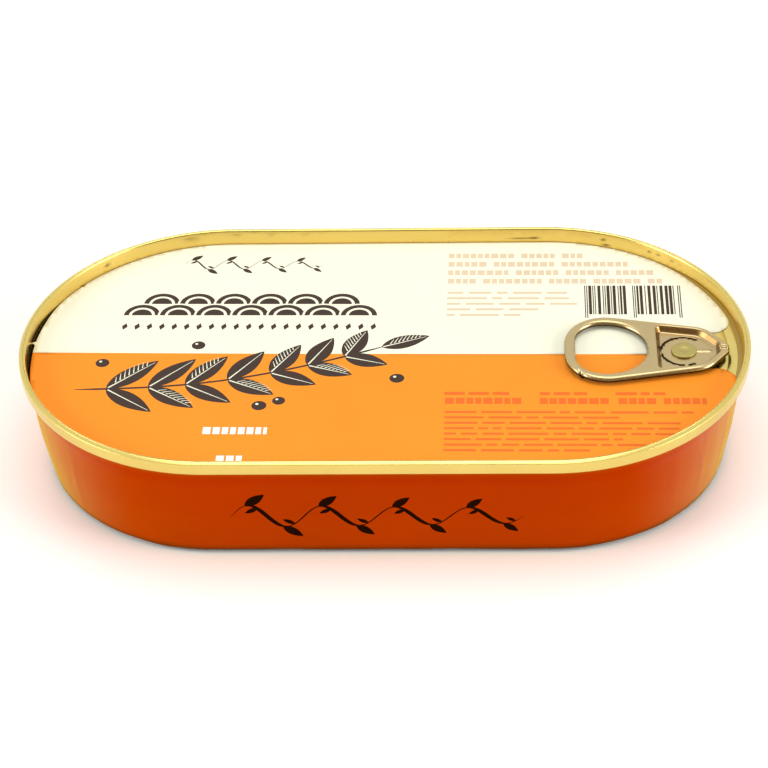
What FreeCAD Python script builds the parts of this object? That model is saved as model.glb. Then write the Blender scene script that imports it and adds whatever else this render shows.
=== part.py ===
"""Easy-open oval fish tin: drawn tinplate body, seamed lid with a riveted ring pull, and two paper labels.

Millimetres, +Z up. The origin is on the table, at the centre of the base. +X runs along the tin
towards the ring pull's nose, and -Y is the front. The outline is a stadium: two half circles joined
by straight sides. A profile is a list of corners (inset, z, radius), where the inset is measured
inwards from the outline of the double seam.
"""

import FreeCAD, Part
import math
import os

# Overall size, over the double seam.
LENGTH = 148.0
WIDTH = 81.5
HEIGHT = 26.0

# Lid: panel, chuck wall and double seam, pressed from one sheet.
SHEET = 0.2
SEAM_THICK = 1.3
SEAM_HEIGHT = 2.9
SEAM_TOP_RADIUS = 0.6
SEAM_HEM_RADIUS = 0.5
PANEL_BELOW_SEAM = 0.4
CHUCK_LEAN = 0.3
CHUCK_RADIUS = 0.15
SCORE_INSET = 4.5
SCORE_WIDTH = 0.3
SCORE_DEPTH = 0.08

# Body: the wall leans in towards the base, under a waist and a low ridge below the panel.
NECK_INSET = 1.35
WAIST_INSET = 1.95
WAIST_DROP = 0.8
RIDGE_INSET = 1.8
RIDGE_DROP = 2.6
BELLY_INSET = 2.75
BELLY_RISE = 11.0
FOOT_INSET = 4.5
WAIST_RADIUS = 1.5
RIDGE_RADIUS = 1.2
BELLY_RADIUS = 90.0
FOOT_RADIUS = 2.2
STANDING_WIDTH = 1.2
RECESS_SLOPE = 0.8
RECESS_DEPTH = 0.8
RECESS_RADIUS = 0.5

# Ring pull, measured from the rivet's axis along the tab.
RIVET_FROM_END = 13.4
TAB_OFFSET = -1.75
TAB_BACK = 24.0
TAB_BACK_WIDTH = 25.2
TAB_BACK_RADIUS = 8.5
TAB_SHOULDER = 4.7
TAB_SHOULDER_WIDTH = 13.8
TAB_SHOULDER_RADIUS = 6.0
TAB_NOSE = 9.1
TAB_NOSE_WIDTH = 2.3
TAB_NOSE_RADIUS = 1.2
TAB_THICK = 1.2
TAB_LIFT = 0.65
RIM_TOP_RADIUS = 0.6
RIM_UNDER_RADIUS = 0.4
RING_BACK_BAND = 2.15
RING_SIDE_BAND = 2.2
HOLE_BACK_FLAT = 5.2
HOLE_FRONT_FLAT = 0.3
CROSSBAR = 1.65
ISLAND_LIFT = 0.15
ISLAND_FLOOR = 0.45
ISLAND_WALL = 0.4
ISLAND_START = 5.7
ISLAND_BACK_RIM = 1.1
ISLAND_BACK_RADIUS = 1.5
ISLAND_SHOULDER = 4.0
ISLAND_SHOULDER_RIM = 0.95
ISLAND_SHOULDER_RADIUS = 5.0
ISLAND_NOSE_RIM = 1.6
ISLAND_NOSE_WIDTH = 3.2
ISLAND_NOSE_RADIUS = 2.0
ISLAND_EDGE_RADIUS = 0.35
SLOT_RADIUS = 4.65
SLOT_WIDTH = 0.35
SLOT_OPENING_DEG = 108.0
DASH_START = 2.7
DASH_LENGTH = 2.6
DASH_WIDTH = 0.5
DASH_HEIGHT = 0.12
PINCH_WIDTH = 0.7
PINCH_DEPTH = 0.45
PINCH_LENGTH = 1.9

# Rivet, raised from the lid's own sheet.
SHANK_RADIUS = 1.6
SHANK_CLEARANCE = 0.05
HEAD_RADIUS = 2.6
HEAD_HEIGHT = 0.45
HEAD_EDGE_RADIUS = 0.18
DIMPLE_RADIUS = 0.9
DIMPLE_DEPTH = 0.15
BOSS_RADIUS = 3.2

# Paper labels.
PAPER = 0.12
PAPER_CLEARANCE = 0.02
TOP_LABEL_MARGIN = 0.04
TOP_LABEL_SHORT = 0.6
NOTCH_WIDTH = 12.2
NOTCH_SHIFT = 1.05
NOTCH_BACK = 6.4
NOTCH_MOUTH_RADIUS = 4.0
WRAP_TOP_GAP = 0.8
WRAP_RISE = 1.1

# Worked out from the sizes above.
END_RADIUS = WIDTH / 2
HALF_STRAIGHT = (LENGTH - WIDTH) / 2
SEAM_BOTTOM = HEIGHT - SEAM_HEIGHT
PANEL_TOP = SEAM_BOTTOM - PANEL_BELOW_SEAM
PANEL_UNDER = PANEL_TOP - SHEET
PANEL_INSET = SEAM_THICK + CHUCK_LEAN
TAB_UNDER = PANEL_TOP + PAPER + TAB_LIFT
ISLAND_UNDER = PANEL_TOP + PAPER + ISLAND_LIFT
ISLAND_TOP = ISLAND_UNDER + ISLAND_FLOOR
RIVET = FreeCAD.Vector(LENGTH / 2 - RIVET_FROM_END, TAB_OFFSET, 0)
UP = FreeCAD.Vector(0, 0, 1)


def towards(start, end):
    """Unit direction from one (u, v) point to another."""
    distance = math.hypot(end[0] - start[0], end[1] - start[1])
    return ((end[0] - start[0]) / distance, (end[1] - start[1]) / distance)


def rounding(before, corner, after):
    """Where a corner's arc starts, its middle and where it ends, as (u, v) points."""
    u, v, radius = corner
    back = towards(corner, before)
    ahead = towards(corner, after)
    half_angle = math.acos(back[0] * ahead[0] + back[1] * ahead[1]) / 2
    tangent = radius / math.tan(half_angle)
    inwards = towards((0, 0), (back[0] + ahead[0], back[1] + ahead[1]))
    to_arc = radius / math.sin(half_angle) - radius
    start = (u + back[0] * tangent, v + back[1] * tangent)
    middle = (u + inwards[0] * to_arc, v + inwards[1] * to_arc)
    end = (u + ahead[0] * tangent, v + ahead[1] * tangent)
    return start, middle, end


def rounded_face(corners, place):
    """Flat face inside a closed outline whose corners (u, v, radius) become tangent arcs.

    place turns a (u, v) point into a vector.
    """
    arcs = []
    for index, corner in enumerate(corners):
        arcs.append(rounding(corners[index - 1], corner, corners[(index + 1) % len(corners)]))
    edges = []
    for index, (start, middle, end) in enumerate(arcs):
        previous_end = arcs[index - 1][2]
        if math.dist(previous_end, start) > 1e-6:
            edges.append(Part.LineSegment(place(*previous_end), place(*start)).toShape())
        if corners[index][2] > 0:
            edges.append(Part.Arc(place(*start), place(*middle), place(*end)).toShape())
    return Part.Face(Part.Wire(edges))


def carried_round(profile):
    """Solid of a profile of (inset, z, radius) corners carried once round the stadium outline."""

    def section(x, side):
        return rounded_face(
            profile, lambda inset, z: FreeCAD.Vector(x, side * (END_RADIUS - inset), z)
        )

    pieces = []
    for side in (-1, 1):
        axis = FreeCAD.Vector(-side * HALF_STRAIGHT, 0, 0)
        pieces.append(section(axis.x, side).revolve(axis, UP, 180))
        pieces.append(section(-HALF_STRAIGHT, side).extrude(FreeCAD.Vector(2 * HALF_STRAIGHT, 0, 0)))
    return pieces[0].multiFuse(pieces[1:]).removeSplitter().Solids[0]


def upright(corners, z, thickness, origin=FreeCAD.Vector()):
    """Straight prism on a plan outline of (x, y, radius) corners, from z upwards."""
    face = rounded_face(corners, lambda x, y: origin + FreeCAD.Vector(x, y, z))
    return face.extrude(UP * thickness)


def disc(radius, z, thickness):
    """Cylinder about the rivet's axis."""
    return Part.makeCylinder(radius, thickness, RIVET + UP * z)


def mirrored(upper):
    """Closed outline from its half with v > 0, listed in order, and the mirror image of that half."""
    return upper + [(u, -v, radius) for u, v, radius in reversed(upper)]


def edges_at(shape, z, keep=lambda edge: True):
    """Edges that lie flat at one height."""
    return [
        edge
        for edge in shape.Edges
        if abs(edge.BoundBox.ZMin - z) < 1e-4 and abs(edge.BoundBox.ZMax - z) < 1e-4 and keep(edge)
    ]


# Corners of the body's outside, from under the seam to the point where the wall would meet the table.
WALL = [
    (NECK_INSET, SEAM_BOTTOM, 0),
    (NECK_INSET, PANEL_UNDER, 0),
    (WAIST_INSET, PANEL_UNDER - WAIST_DROP, WAIST_RADIUS),
    (RIDGE_INSET, PANEL_UNDER - RIDGE_DROP, RIDGE_RADIUS),
    (BELLY_INSET, BELLY_RISE, BELLY_RADIUS),
    (FOOT_INSET, 0, 0),
]


def wall_inset(z):
    """Inset of the body's outside at one height, along the straight runs between its corners."""
    for (upper_inset, upper_z, _), (lower_inset, lower_z, _) in zip(WALL, WALL[1:]):
        if lower_z <= z <= upper_z:
            share = (upper_z - z) / (upper_z - lower_z)
            return upper_inset + share * (lower_inset - upper_inset)


def can_body():
    """Drawn body with its fill, solid up to the lid, standing on a ring round a shallow recess."""
    standing_inner = FOOT_INSET + FOOT_RADIUS + STANDING_WIDTH
    profile = WALL[1:-1] + [
        (FOOT_INSET, 0, FOOT_RADIUS),
        (standing_inner, 0, RECESS_RADIUS),
        (standing_inner + RECESS_SLOPE, RECESS_DEPTH, RECESS_RADIUS),
        (END_RADIUS, RECESS_DEPTH, 0),
        (END_RADIUS, PANEL_UNDER, 0),
    ]
    return carried_round(profile)


def lid():
    """Double seam, chuck wall, scored panel and the rivet that holds the ring pull."""
    profile = [
        (0, HEIGHT, SEAM_TOP_RADIUS),
        (0, SEAM_BOTTOM, SEAM_HEM_RADIUS),
        (NECK_INSET, SEAM_BOTTOM, 0),
        (NECK_INSET, PANEL_UNDER, 0),
        (END_RADIUS, PANEL_UNDER, 0),
        (END_RADIUS, PANEL_TOP, 0),
        (SCORE_INSET + SCORE_WIDTH / 2, PANEL_TOP, 0),
        (SCORE_INSET, PANEL_TOP - SCORE_DEPTH, 0),
        (SCORE_INSET - SCORE_WIDTH / 2, PANEL_TOP, 0),
        (PANEL_INSET, PANEL_TOP, CHUCK_RADIUS),
        (SEAM_THICK, HEIGHT, SEAM_TOP_RADIUS),
    ]
    boss = disc(BOSS_RADIUS, PANEL_TOP, ISLAND_UNDER - PANEL_TOP)
    shank = disc(SHANK_RADIUS, PANEL_TOP, ISLAND_TOP - PANEL_TOP)
    head_top = ISLAND_TOP + HEAD_HEIGHT
    head = disc(HEAD_RADIUS, ISLAND_TOP, HEAD_HEIGHT)
    head = head.makeFillet(HEAD_EDGE_RADIUS, edges_at(head, head_top))
    dimple = Part.makeCone(0, DIMPLE_RADIUS, DIMPLE_DEPTH, RIVET + UP * (head_top - DIMPLE_DEPTH))
    rivet = boss.multiFuse([shank, head]).cut(dimple)
    return carried_round(profile).fuse(rivet).removeSplitter().Solids[0]


def tab_side(x):
    """Half the ring pull's width at x from the rivet, along its straight tapering side."""
    share = (x + TAB_BACK) / (TAB_SHOULDER + TAB_BACK)
    return (TAB_BACK_WIDTH + share * (TAB_SHOULDER_WIDTH - TAB_BACK_WIDTH)) / 2


def ring_tab():
    """Ring pull with curled rims and a finger hole, pressed down to an island that the rivet holds."""
    top = TAB_UNDER + TAB_THICK
    hole_back = RING_BACK_BAND - TAB_BACK
    hole_front = -ISLAND_START - CROSSBAR
    hole_side = tab_side((hole_back + hole_front) / 2) - RING_SIDE_BAND
    outside = mirrored(
        [
            (-TAB_BACK, TAB_BACK_WIDTH / 2, TAB_BACK_RADIUS),
            (TAB_SHOULDER, TAB_SHOULDER_WIDTH / 2, TAB_SHOULDER_RADIUS),
            (TAB_NOSE, TAB_NOSE_WIDTH / 2, TAB_NOSE_RADIUS),
        ]
    )
    hole = mirrored(
        [
            (hole_back, hole_side, hole_side - HOLE_BACK_FLAT / 2),
            (hole_front, hole_side, hole_side - HOLE_FRONT_FLAT / 2),
        ]
    )
    island = mirrored(
        [
            (-ISLAND_START, tab_side(-ISLAND_START) - ISLAND_BACK_RIM, ISLAND_BACK_RADIUS),
            (
                ISLAND_SHOULDER,
                tab_side(ISLAND_SHOULDER) - ISLAND_SHOULDER_RIM,
                ISLAND_SHOULDER_RADIUS,
            ),
            (TAB_NOSE - ISLAND_NOSE_RIM, ISLAND_NOSE_WIDTH / 2, ISLAND_NOSE_RADIUS),
        ]
    )
    tab = upright(outside, TAB_UNDER, TAB_THICK, RIVET)
    tab = tab.cut(upright(hole, TAB_UNDER, TAB_THICK, RIVET))
    tab = tab.makeFillet(RIM_TOP_RADIUS, edges_at(tab, top))
    tab = tab.makeFillet(RIM_UNDER_RADIUS, edges_at(tab, TAB_UNDER))
    cup = rounded_face(island, lambda x, y: RIVET + FreeCAD.Vector(x, y, ISLAND_UNDER))
    cup = cup.makeOffset2D(ISLAND_WALL).extrude(UP * (TAB_UNDER + TAB_THICK / 2 - ISLAND_UNDER))
    recess = upright(island, ISLAND_TOP, TAB_UNDER + TAB_THICK - ISLAND_TOP, RIVET)
    tab = tab.fuse(cup).cut(recess)
    inside_recess = recess.BoundBox
    inside_recess.enlarge(0.01)
    tab = tab.makeFillet(
        ISLAND_EDGE_RADIUS,
        edges_at(tab, top, lambda edge: inside_recess.isInside(edge.BoundBox)),
    )
    tab = tab.cut(disc(SHANK_RADIUS + SHANK_CLEARANCE, ISLAND_UNDER, ISLAND_FLOOR))
    tab = tab.cut(tongue_slot())
    tab = tab.fuse(dash()).cut(nose_pinch(top))
    return tab.removeSplitter().Solids[0]


def tongue_slot():
    """Cut round the rivet, open towards the nose, that leaves the island hanging on a tongue."""
    turn = SLOT_OPENING_DEG / 2
    outer, inner = (
        Part.makeCylinder(radius, ISLAND_FLOOR, RIVET + UP * ISLAND_UNDER, UP, 360 - SLOT_OPENING_DEG)
        for radius in (SLOT_RADIUS + SLOT_WIDTH / 2, SLOT_RADIUS - SLOT_WIDTH / 2)
    )
    slot = outer.cut(inner)
    slot.rotate(RIVET, UP, turn)
    return slot


def dash():
    """Short raised line on the island, between the rivet and the nose."""
    end = DASH_WIDTH / 2
    outline = mirrored([(DASH_START, end, end), (DASH_START + DASH_LENGTH, end, end)])
    return upright(outline, ISLAND_TOP, DASH_HEIGHT, RIVET)


def nose_pinch(top):
    """Crease where the curled rim is folded in on itself at the nose."""
    corners = [(-PINCH_WIDTH / 2, top), (PINCH_WIDTH / 2, top), (0, top - PINCH_DEPTH)]
    points = [RIVET + FreeCAD.Vector(TAB_NOSE - PINCH_LENGTH, y, z) for y, z in corners]
    crease = Part.Face(Part.makePolygon(points + points[:1]))
    return crease.extrude(FreeCAD.Vector(PINCH_LENGTH, 0, 0))


def top_label():
    """Paper label on the lid's panel, notched round the ring pull's nose and a little short at one end."""
    inset = PANEL_INSET + CHUCK_RADIUS + TOP_LABEL_MARGIN
    half_width = END_RADIUS - inset
    right = LENGTH / 2 - inset
    left = TOP_LABEL_SHORT - right
    sheet = upright(
        mirrored([(left, half_width, half_width), (right, half_width, half_width)]), PANEL_TOP, PAPER
    )
    half_notch = NOTCH_WIDTH / 2
    notch_y = RIVET.y + NOTCH_SHIFT
    notch_back = RIVET.x - NOTCH_BACK
    beyond = LENGTH / 2
    notch = upright(
        [
            (notch_back, half_notch, half_notch),
            (notch_back, -half_notch, half_notch),
            (beyond, -half_notch, 0),
            (beyond, half_notch, 0),
        ],
        PANEL_TOP,
        PAPER,
        FreeCAD.Vector(0, notch_y, 0),
    )
    sheet = sheet.cut(notch)
    mouth = [
        edge
        for edge in sheet.Edges
        if edge.BoundBox.ZLength > PAPER / 2
        and edge.BoundBox.XMin > RIVET.x
        and abs(abs(edge.BoundBox.YMin - notch_y) - half_notch) < 1e-3
    ]
    return sheet.makeFillet(NOTCH_MOUTH_RADIUS, mouth).Solids[0]


def wrap_label():
    """Paper band round the body, from just under the seam to just above the table."""
    top = SEAM_BOTTOM - WRAP_TOP_GAP
    ends = [(wall_inset(z), z, 0) for z in (top, WRAP_RISE)]
    line = ends[:1] + [corner for corner in WALL if WRAP_RISE < corner[1] < top] + ends[1:]
    outside = [(inset - PAPER_CLEARANCE - PAPER, z, radius) for inset, z, radius in line]
    inside = [(inset - PAPER_CLEARANCE, z, radius) for inset, z, radius in line]
    return carried_round(outside + inside[::-1])


os.makedirs("parts", exist_ok=True)
for make in (can_body, lid, ring_tab, top_label, wrap_label):
    shape = make()
    shape.exportStep(f"parts/{make.__name__}.step")
    box = shape.BoundBox
    print(
        f"{make.__name__}: {shape.Volume / 1000:.3f} cm3, valid {shape.isValid()}, "
        f"{box.XLength:.2f} x {box.YLength:.2f} x {box.ZLength:.2f} mm"
    )
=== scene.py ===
import math

import bpy
import numpy as np
from mathutils import Matrix, Vector
from mathutils.geometry import delaunay_2d_cdt


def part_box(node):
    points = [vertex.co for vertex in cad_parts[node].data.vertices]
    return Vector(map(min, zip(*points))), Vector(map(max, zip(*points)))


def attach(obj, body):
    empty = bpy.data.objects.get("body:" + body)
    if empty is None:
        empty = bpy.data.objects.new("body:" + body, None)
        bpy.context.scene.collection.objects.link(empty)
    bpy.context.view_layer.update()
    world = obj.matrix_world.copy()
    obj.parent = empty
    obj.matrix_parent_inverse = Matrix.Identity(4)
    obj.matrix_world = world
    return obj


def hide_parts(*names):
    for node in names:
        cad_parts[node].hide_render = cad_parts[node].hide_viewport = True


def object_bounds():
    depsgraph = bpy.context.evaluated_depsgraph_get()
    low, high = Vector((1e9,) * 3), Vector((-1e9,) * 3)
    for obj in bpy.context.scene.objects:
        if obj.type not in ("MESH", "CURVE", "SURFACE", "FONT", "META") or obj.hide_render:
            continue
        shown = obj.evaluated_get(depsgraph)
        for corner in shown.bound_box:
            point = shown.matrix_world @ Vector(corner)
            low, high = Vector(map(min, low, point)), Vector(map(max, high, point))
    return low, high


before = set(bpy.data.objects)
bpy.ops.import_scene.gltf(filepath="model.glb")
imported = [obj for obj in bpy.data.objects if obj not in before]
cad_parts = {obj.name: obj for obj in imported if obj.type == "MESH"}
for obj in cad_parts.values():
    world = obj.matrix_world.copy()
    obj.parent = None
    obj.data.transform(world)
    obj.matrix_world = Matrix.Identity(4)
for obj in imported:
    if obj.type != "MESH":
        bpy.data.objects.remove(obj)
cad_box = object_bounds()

# ------------------------------------------------------------
# Can body. The real one is a tinplate cup, drawn deep from one sheet that was lacquered gold
# first. It leans in towards its foot and stands on a ring round a shallow recess. The lid is
# seamed on at its top, so only the foot and the base are left bare of paper.
MM = 0.001
CORNER_LOW, CORNER_HIGH = cad_box
LENGTH, WIDTH, HEIGHT = (round(side, 1) for side in (CORNER_HIGH - CORNER_LOW) / MM)
END_RADIUS = WIDTH / 2
HALF_STRAIGHT = (LENGTH - WIDTH) / 2
END_ARC = math.pi * END_RADIUS
PERIMETER = 4 * HALF_STRAIGHT + 2 * END_ARC

SEAM_HEIGHT = 2.9
SEAM_BOTTOM = HEIGHT - SEAM_HEIGHT
PANEL_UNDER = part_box("can_body")[1].z / MM
PANEL_END = 6.5
CHANNEL_FLOOR = PANEL_UNDER - 0.35
WALL_FOOT = 1.62
BODY_TOP = CHANNEL_FLOOR - 0.35
NECK_INSET = 1.35
NECK_STEP = 0.05
FOOT_INSET = 4.5
# A corner of a profile is its inset from the seam's outline, its height and its radius.
WALL = [
    (NECK_INSET, PANEL_UNDER, 0.4),
    (1.95, PANEL_UNDER - 0.8, 1.5),
    (1.8, PANEL_UNDER - 2.6, 1.2),
    (2.75, 11.0, 90.0),
    (FOOT_INSET, 0.0, 2.2),
]
STANDING_INNER = FOOT_INSET + 3.4
RECESS_SLOPE = 0.8
RECESS_DEPTH = 0.8
RECESS_END = STANDING_INNER + 2.4
FOOT_DIRT_AND_SHADE_TOP = 2.4

LACQUER_CLOUD = 9.0
# A baked lacquer's grit is about 0.1 mm, too fine to show, so it is drawn at 0.45 mm.
LACQUER_GRIT = 0.45
GRIT_HEIGHT = 0.03
DIRT_ROUGHNESS = 0.85


def linear(hex_colour):
    """Linear RGBA of an sRGB hex colour."""
    channels = [int(hex_colour[place : place + 2], 16) / 255 for place in (1, 3, 5)]
    return tuple(c / 12.92 if c <= 0.04045 else ((c + 0.055) / 1.055) ** 2.4 for c in channels) + (1.0,)


def add_node(material, kind, settings=(), **inputs):
    """Shader node with its settings, and each input set to a value or linked to a socket.

    An input's name is its socket's, with _ for a space, or in_ and its number. A node given for
    an input is linked by its first output. The world has nodes as a material has.
    """
    node = material.node_tree.nodes.new("ShaderNode" + kind)
    for setting, value in dict(settings).items():
        setattr(node, setting, value)
    for name, value in inputs.items():
        place = int(name[3:]) if name.startswith("in_") else name.replace("_", " ")
        if isinstance(value, bpy.types.Node):
            value = value.outputs[0]
        if isinstance(value, bpy.types.NodeSocket):
            material.node_tree.links.new(value, node.inputs[place])
        else:
            node.inputs[place].default_value = value
    return node


def new_material(name):
    """Node material with no nodes yet."""
    material = bpy.data.materials.new(name)
    material.use_nodes = True
    material.node_tree.nodes.clear()
    return material


def overlaid(material, colour, finish, hex_colour):
    """The colour, covered by another as far as a finish is painted on the piece."""
    share = add_node(material, "Attribute", {"attribute_name": finish}).outputs["Fac"]
    cover = linear(hex_colour)
    mix = add_node(material, "Mix", {"data_type": "RGBA"}, in_0=share, in_6=colour, in_7=cover)
    return mix.outputs[2]


def per_mm(size):
    """Texture scale whose pattern repeats about every size millimetres."""
    return 1 / (size * MM)


def rounded(corners, closed=False, step=math.radians(12)):
    """Points along a line of (u, v, radius) corners, with each corner turned into an arc."""
    points = []
    for index, (u, v, radius) in enumerate(corners):
        corner = Vector((u, v))
        if radius == 0 or (not closed and index in (0, len(corners) - 1)):
            points.append(corner)
            continue
        back = (Vector(corners[index - 1][:2]) - corner).normalized()
        ahead = (Vector(corners[(index + 1) % len(corners)][:2]) - corner).normalized()
        half_angle = back.angle(ahead) / 2
        centre = corner + (back + ahead).normalized() * (radius / math.sin(half_angle))
        first = corner + back * (radius / math.tan(half_angle)) - centre
        turn = math.pi - 2 * half_angle
        turn = math.copysign(turn, ahead.x * back.y - ahead.y * back.x)
        count = max(2, math.ceil(abs(turn) / step))
        for part in range(count + 1):
            points.append(centre + Matrix.Rotation(turn * part / count, 2) @ first)
    return np.array(points)


def walk(distance):
    """Points on the seam's outline, and outward directions, at distances from the back's middle."""
    distance = np.mod(distance, PERIMETER)
    left_end = np.clip(distance - HALF_STRAIGHT, 0, END_ARC)
    right_end = np.clip(distance - 3 * HALF_STRAIGHT - END_ARC, 0, END_ARC)
    angle = math.pi / 2 + (left_end + right_end) / END_RADIUS
    centre = -np.clip(distance, 0, HALF_STRAIGHT)
    centre = centre + np.clip(distance - HALF_STRAIGHT - END_ARC, 0, 2 * HALF_STRAIGHT)
    centre = centre - np.clip(distance - 3 * HALF_STRAIGHT - 2 * END_ARC, 0, HALF_STRAIGHT)
    outwards = np.stack([np.cos(angle), np.sin(angle)], axis=-1)
    places = outwards * END_RADIUS
    places[..., 0] += centre
    return places, outwards


def stations(spacing):
    """Even distances round the outline, about spacing apart."""
    return np.arange(round(PERIMETER / spacing)) * PERIMETER / round(PERIMETER / spacing)


def put_in(name, data):
    """Object of a mesh, lamp or camera, put in the scene."""
    thing = bpy.data.objects.new(name, data)
    bpy.context.collection.objects.link(thing)
    return thing


def piece_from(name, places, faces, materials, slots=None):
    """Smooth mesh piece from places in millimetres, riding on the one body."""
    mesh = bpy.data.meshes.new(name)
    mesh.from_pydata((np.asarray(places) * MM).tolist(), [], faces)
    for material in materials:
        mesh.materials.append(material)
    if slots is not None:
        mesh.polygons.foreach_set("material_index", slots)
    mesh.shade_smooth()
    mesh.update()
    piece = put_in(name, mesh)
    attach(piece, "root")
    return piece


def skin(rows, columns):
    """Quads over rows of points, the last row joined to the first, and the rings at the two ends."""
    here = np.arange(rows * columns).reshape(rows, columns)
    after = np.roll(here, -1, axis=0)
    quads = np.stack([here[:, :-1], after[:, :-1], after[:, 1:], here[:, 1:]], axis=-1)
    return quads.reshape(-1, 4).tolist(), here[::-1, 0].tolist(), here[:, -1].tolist()


def carried_round(name, profile, materials, spacing=1.0, shift=None):
    """Closed piece of a profile of (inset, z) points carried round the outline.

    The profile's two ends are closed by flat faces. shift gives each point's extra inset and z.
    """
    along = stations(spacing)
    places, outwards = walk(along)
    inset = np.tile(profile[:, 0], (len(along), 1))
    z = np.tile(profile[:, 1], (len(along), 1))
    if shift:
        more_inset, more_z = shift(along[:, None], inset, z)
        inset, z = inset + more_inset, z + more_z
    plan = places[:, None, :] - outwards[:, None, :] * inset[..., None]
    vertices = np.concatenate([plan, z[..., None]], axis=-1).reshape(-1, 3)
    quads, first_end, last_end = skin(*z.shape)
    return piece_from(name, vertices, quads + [first_end, last_end], materials)


def gold_lacquer(name, base_hex, shade_hex, roughness, grain):
    """Tinplate under baked epoxy lacquer: a warm mirror, softened by the lacquer's fine grit.

    A painted reflection makes it a warmer gold in places, and painted shade and dirt make it dark, and
    dull, in others.
    """
    material = new_material(name)
    spot = add_node(material, "TexCoord").outputs["Object"]
    cloud = add_node(material, "TexNoise", Vector=spot, Scale=per_mm(LACQUER_CLOUD), Detail=3.0)
    tint = add_node(
        material,
        "Mix",
        {"data_type": "RGBA"},
        in_0=cloud,
        in_6=linear(base_hex),
        in_7=linear(shade_hex),
    )
    # Painted reflection: a warmer gold. Painted shade, with dirt in places: a dark brown.
    with_painted_reflection = overlaid(material, tint.outputs[2], "painted_reflection", "#E6C872")
    with_painted_shade_and_dirt = overlaid(material, with_painted_reflection, "painted_shade_and_dirt", "#2E1E08")
    grit = add_node(material, "TexNoise", Vector=spot, Scale=per_mm(LACQUER_GRIT), Detail=2.0)
    relief = add_node(material, "Bump", Strength=grain, Distance=GRIT_HEIGHT * MM, Height=grit)
    wear_and_glare = add_node(
        material, "MapRange", Value=cloud, To_Min=roughness - 0.05, To_Max=roughness + 0.07
    )
    painted_shade_and_dirt = add_node(material, "Attribute", {"attribute_name": "painted_shade_and_dirt"})
    dull = add_node(material, "Mix", in_0=painted_shade_and_dirt.outputs["Fac"], in_2=wear_and_glare, in_3=DIRT_ROUGHNESS)
    shader = add_node(
        material, "BsdfPrincipled", Base_Color=with_painted_shade_and_dirt, Metallic=1.0, Roughness=dull, Normal=relief
    )
    add_node(material, "OutputMaterial", Surface=shader)
    return material


def paint(piece, finish, amount):
    """Stores how much of a finish each point has, 0 to 1, for the material to show."""
    places = np.empty(len(piece.data.vertices) * 3, np.float32)
    piece.data.vertices.foreach_get("co", places)
    layer = piece.data.attributes.new(finish, "FLOAT", "POINT")
    layer.data.foreach_set("value", amount(*(places.reshape(-1, 3) / MM).T))


def inset_at(x, y):
    """How far inside the seam's outline a plan point lies."""
    beyond = np.maximum(np.abs(x) - HALF_STRAIGHT, 0)
    return END_RADIUS - np.hypot(beyond, y)


def foot_dirt_and_shade(x, y, z):
    """Dirt and painted shade round the foot, out to the standing ring."""
    return np.clip(FOOT_DIRT_AND_SHADE_TOP - z, 0, 1) * (inset_at(x, y) < STANDING_INNER)


body_profile = rounded(
    [
        (PANEL_END, BODY_TOP, 0),
        (WALL_FOOT, BODY_TOP, 0.2),
        (NECK_INSET + NECK_STEP, PANEL_UNDER, 0.3),
        (NECK_INSET + NECK_STEP, SEAM_BOTTOM, 0),
        (NECK_INSET, SEAM_BOTTOM, 0),
        *WALL,
        (STANDING_INNER, 0.0, 0.5),
        (STANDING_INNER + RECESS_SLOPE, RECESS_DEPTH, 0.5),
        (RECESS_END, RECESS_DEPTH, 0),
    ]
)
drawn_tinplate = gold_lacquer("gold lacquered tinplate, drawn", "#DDBE74", "#CDAE66", 0.28, 0.2)
# Carried round from the base up, so that the faces look outwards.
can_body = carried_round("can_body_drawn", body_profile[::-1], [drawn_tinplate])
# Dirt and painted shade darken the foot.
paint(can_body, "painted_shade_and_dirt", foot_dirt_and_shade)
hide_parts("can_body")

# ------------------------------------------------------------
# Lid. One sheet of gold lacquered tinplate: the double seam is rolled round the body's edge, the
# chuck wall drops inside it to a countersunk channel, and a scored panel lies within. Handling
# left small marks on the wall. Shade is painted dark in the channel and at the chuck wall's foot under
# the curl, and the chuck wall is painted a warmer gold as a painted reflection.
SEAM_THICK = 1.3
SHEET = 0.2
PANEL_TOP = PANEL_UNDER + SHEET
CHANNEL_INNER = 2.42
SCORE_INSET = 4.35
SCORE_HALF = 0.15
SCORE_DEPTH = 0.1
CURL_INSET = SEAM_THICK + 0.02
CHUCK_TOP = HEIGHT - 0.85
CHUCK_DROP = 2.8
CHUCK_LEAN = 0.28
CHUCK_RINGS = np.linspace(0.25, 0.9, 14)
LEFT_END = HALF_STRAIGHT + END_ARC / 2
RIGHT_END = 3 * HALF_STRAIGHT + 1.5 * END_ARC
# Each mark's place, then how far it spreads along the wall and up it.
CHUCK_MARKS = [
    (31.2, 39.3, 23.75, 1.0, 0.22),
    (28.3, 39.3, 23.7, 2.2, 0.14),
    (45.9, 37.3, 24.45, 0.5, 0.25),
    (46.6, 37.0, 23.4, 0.7, 0.25),
    (55.4, 32.5, 24.4, 0.4, 0.12),
    (57.2, 31.2, 24.5, 0.5, 0.12),
    (60.0, 28.9, 24.5, 0.4, 0.12),
    (61.6, 27.4, 24.6, 0.5, 0.14),
    (-59.8, 29.1, 24.3, 0.6, 0.25),
]

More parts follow.
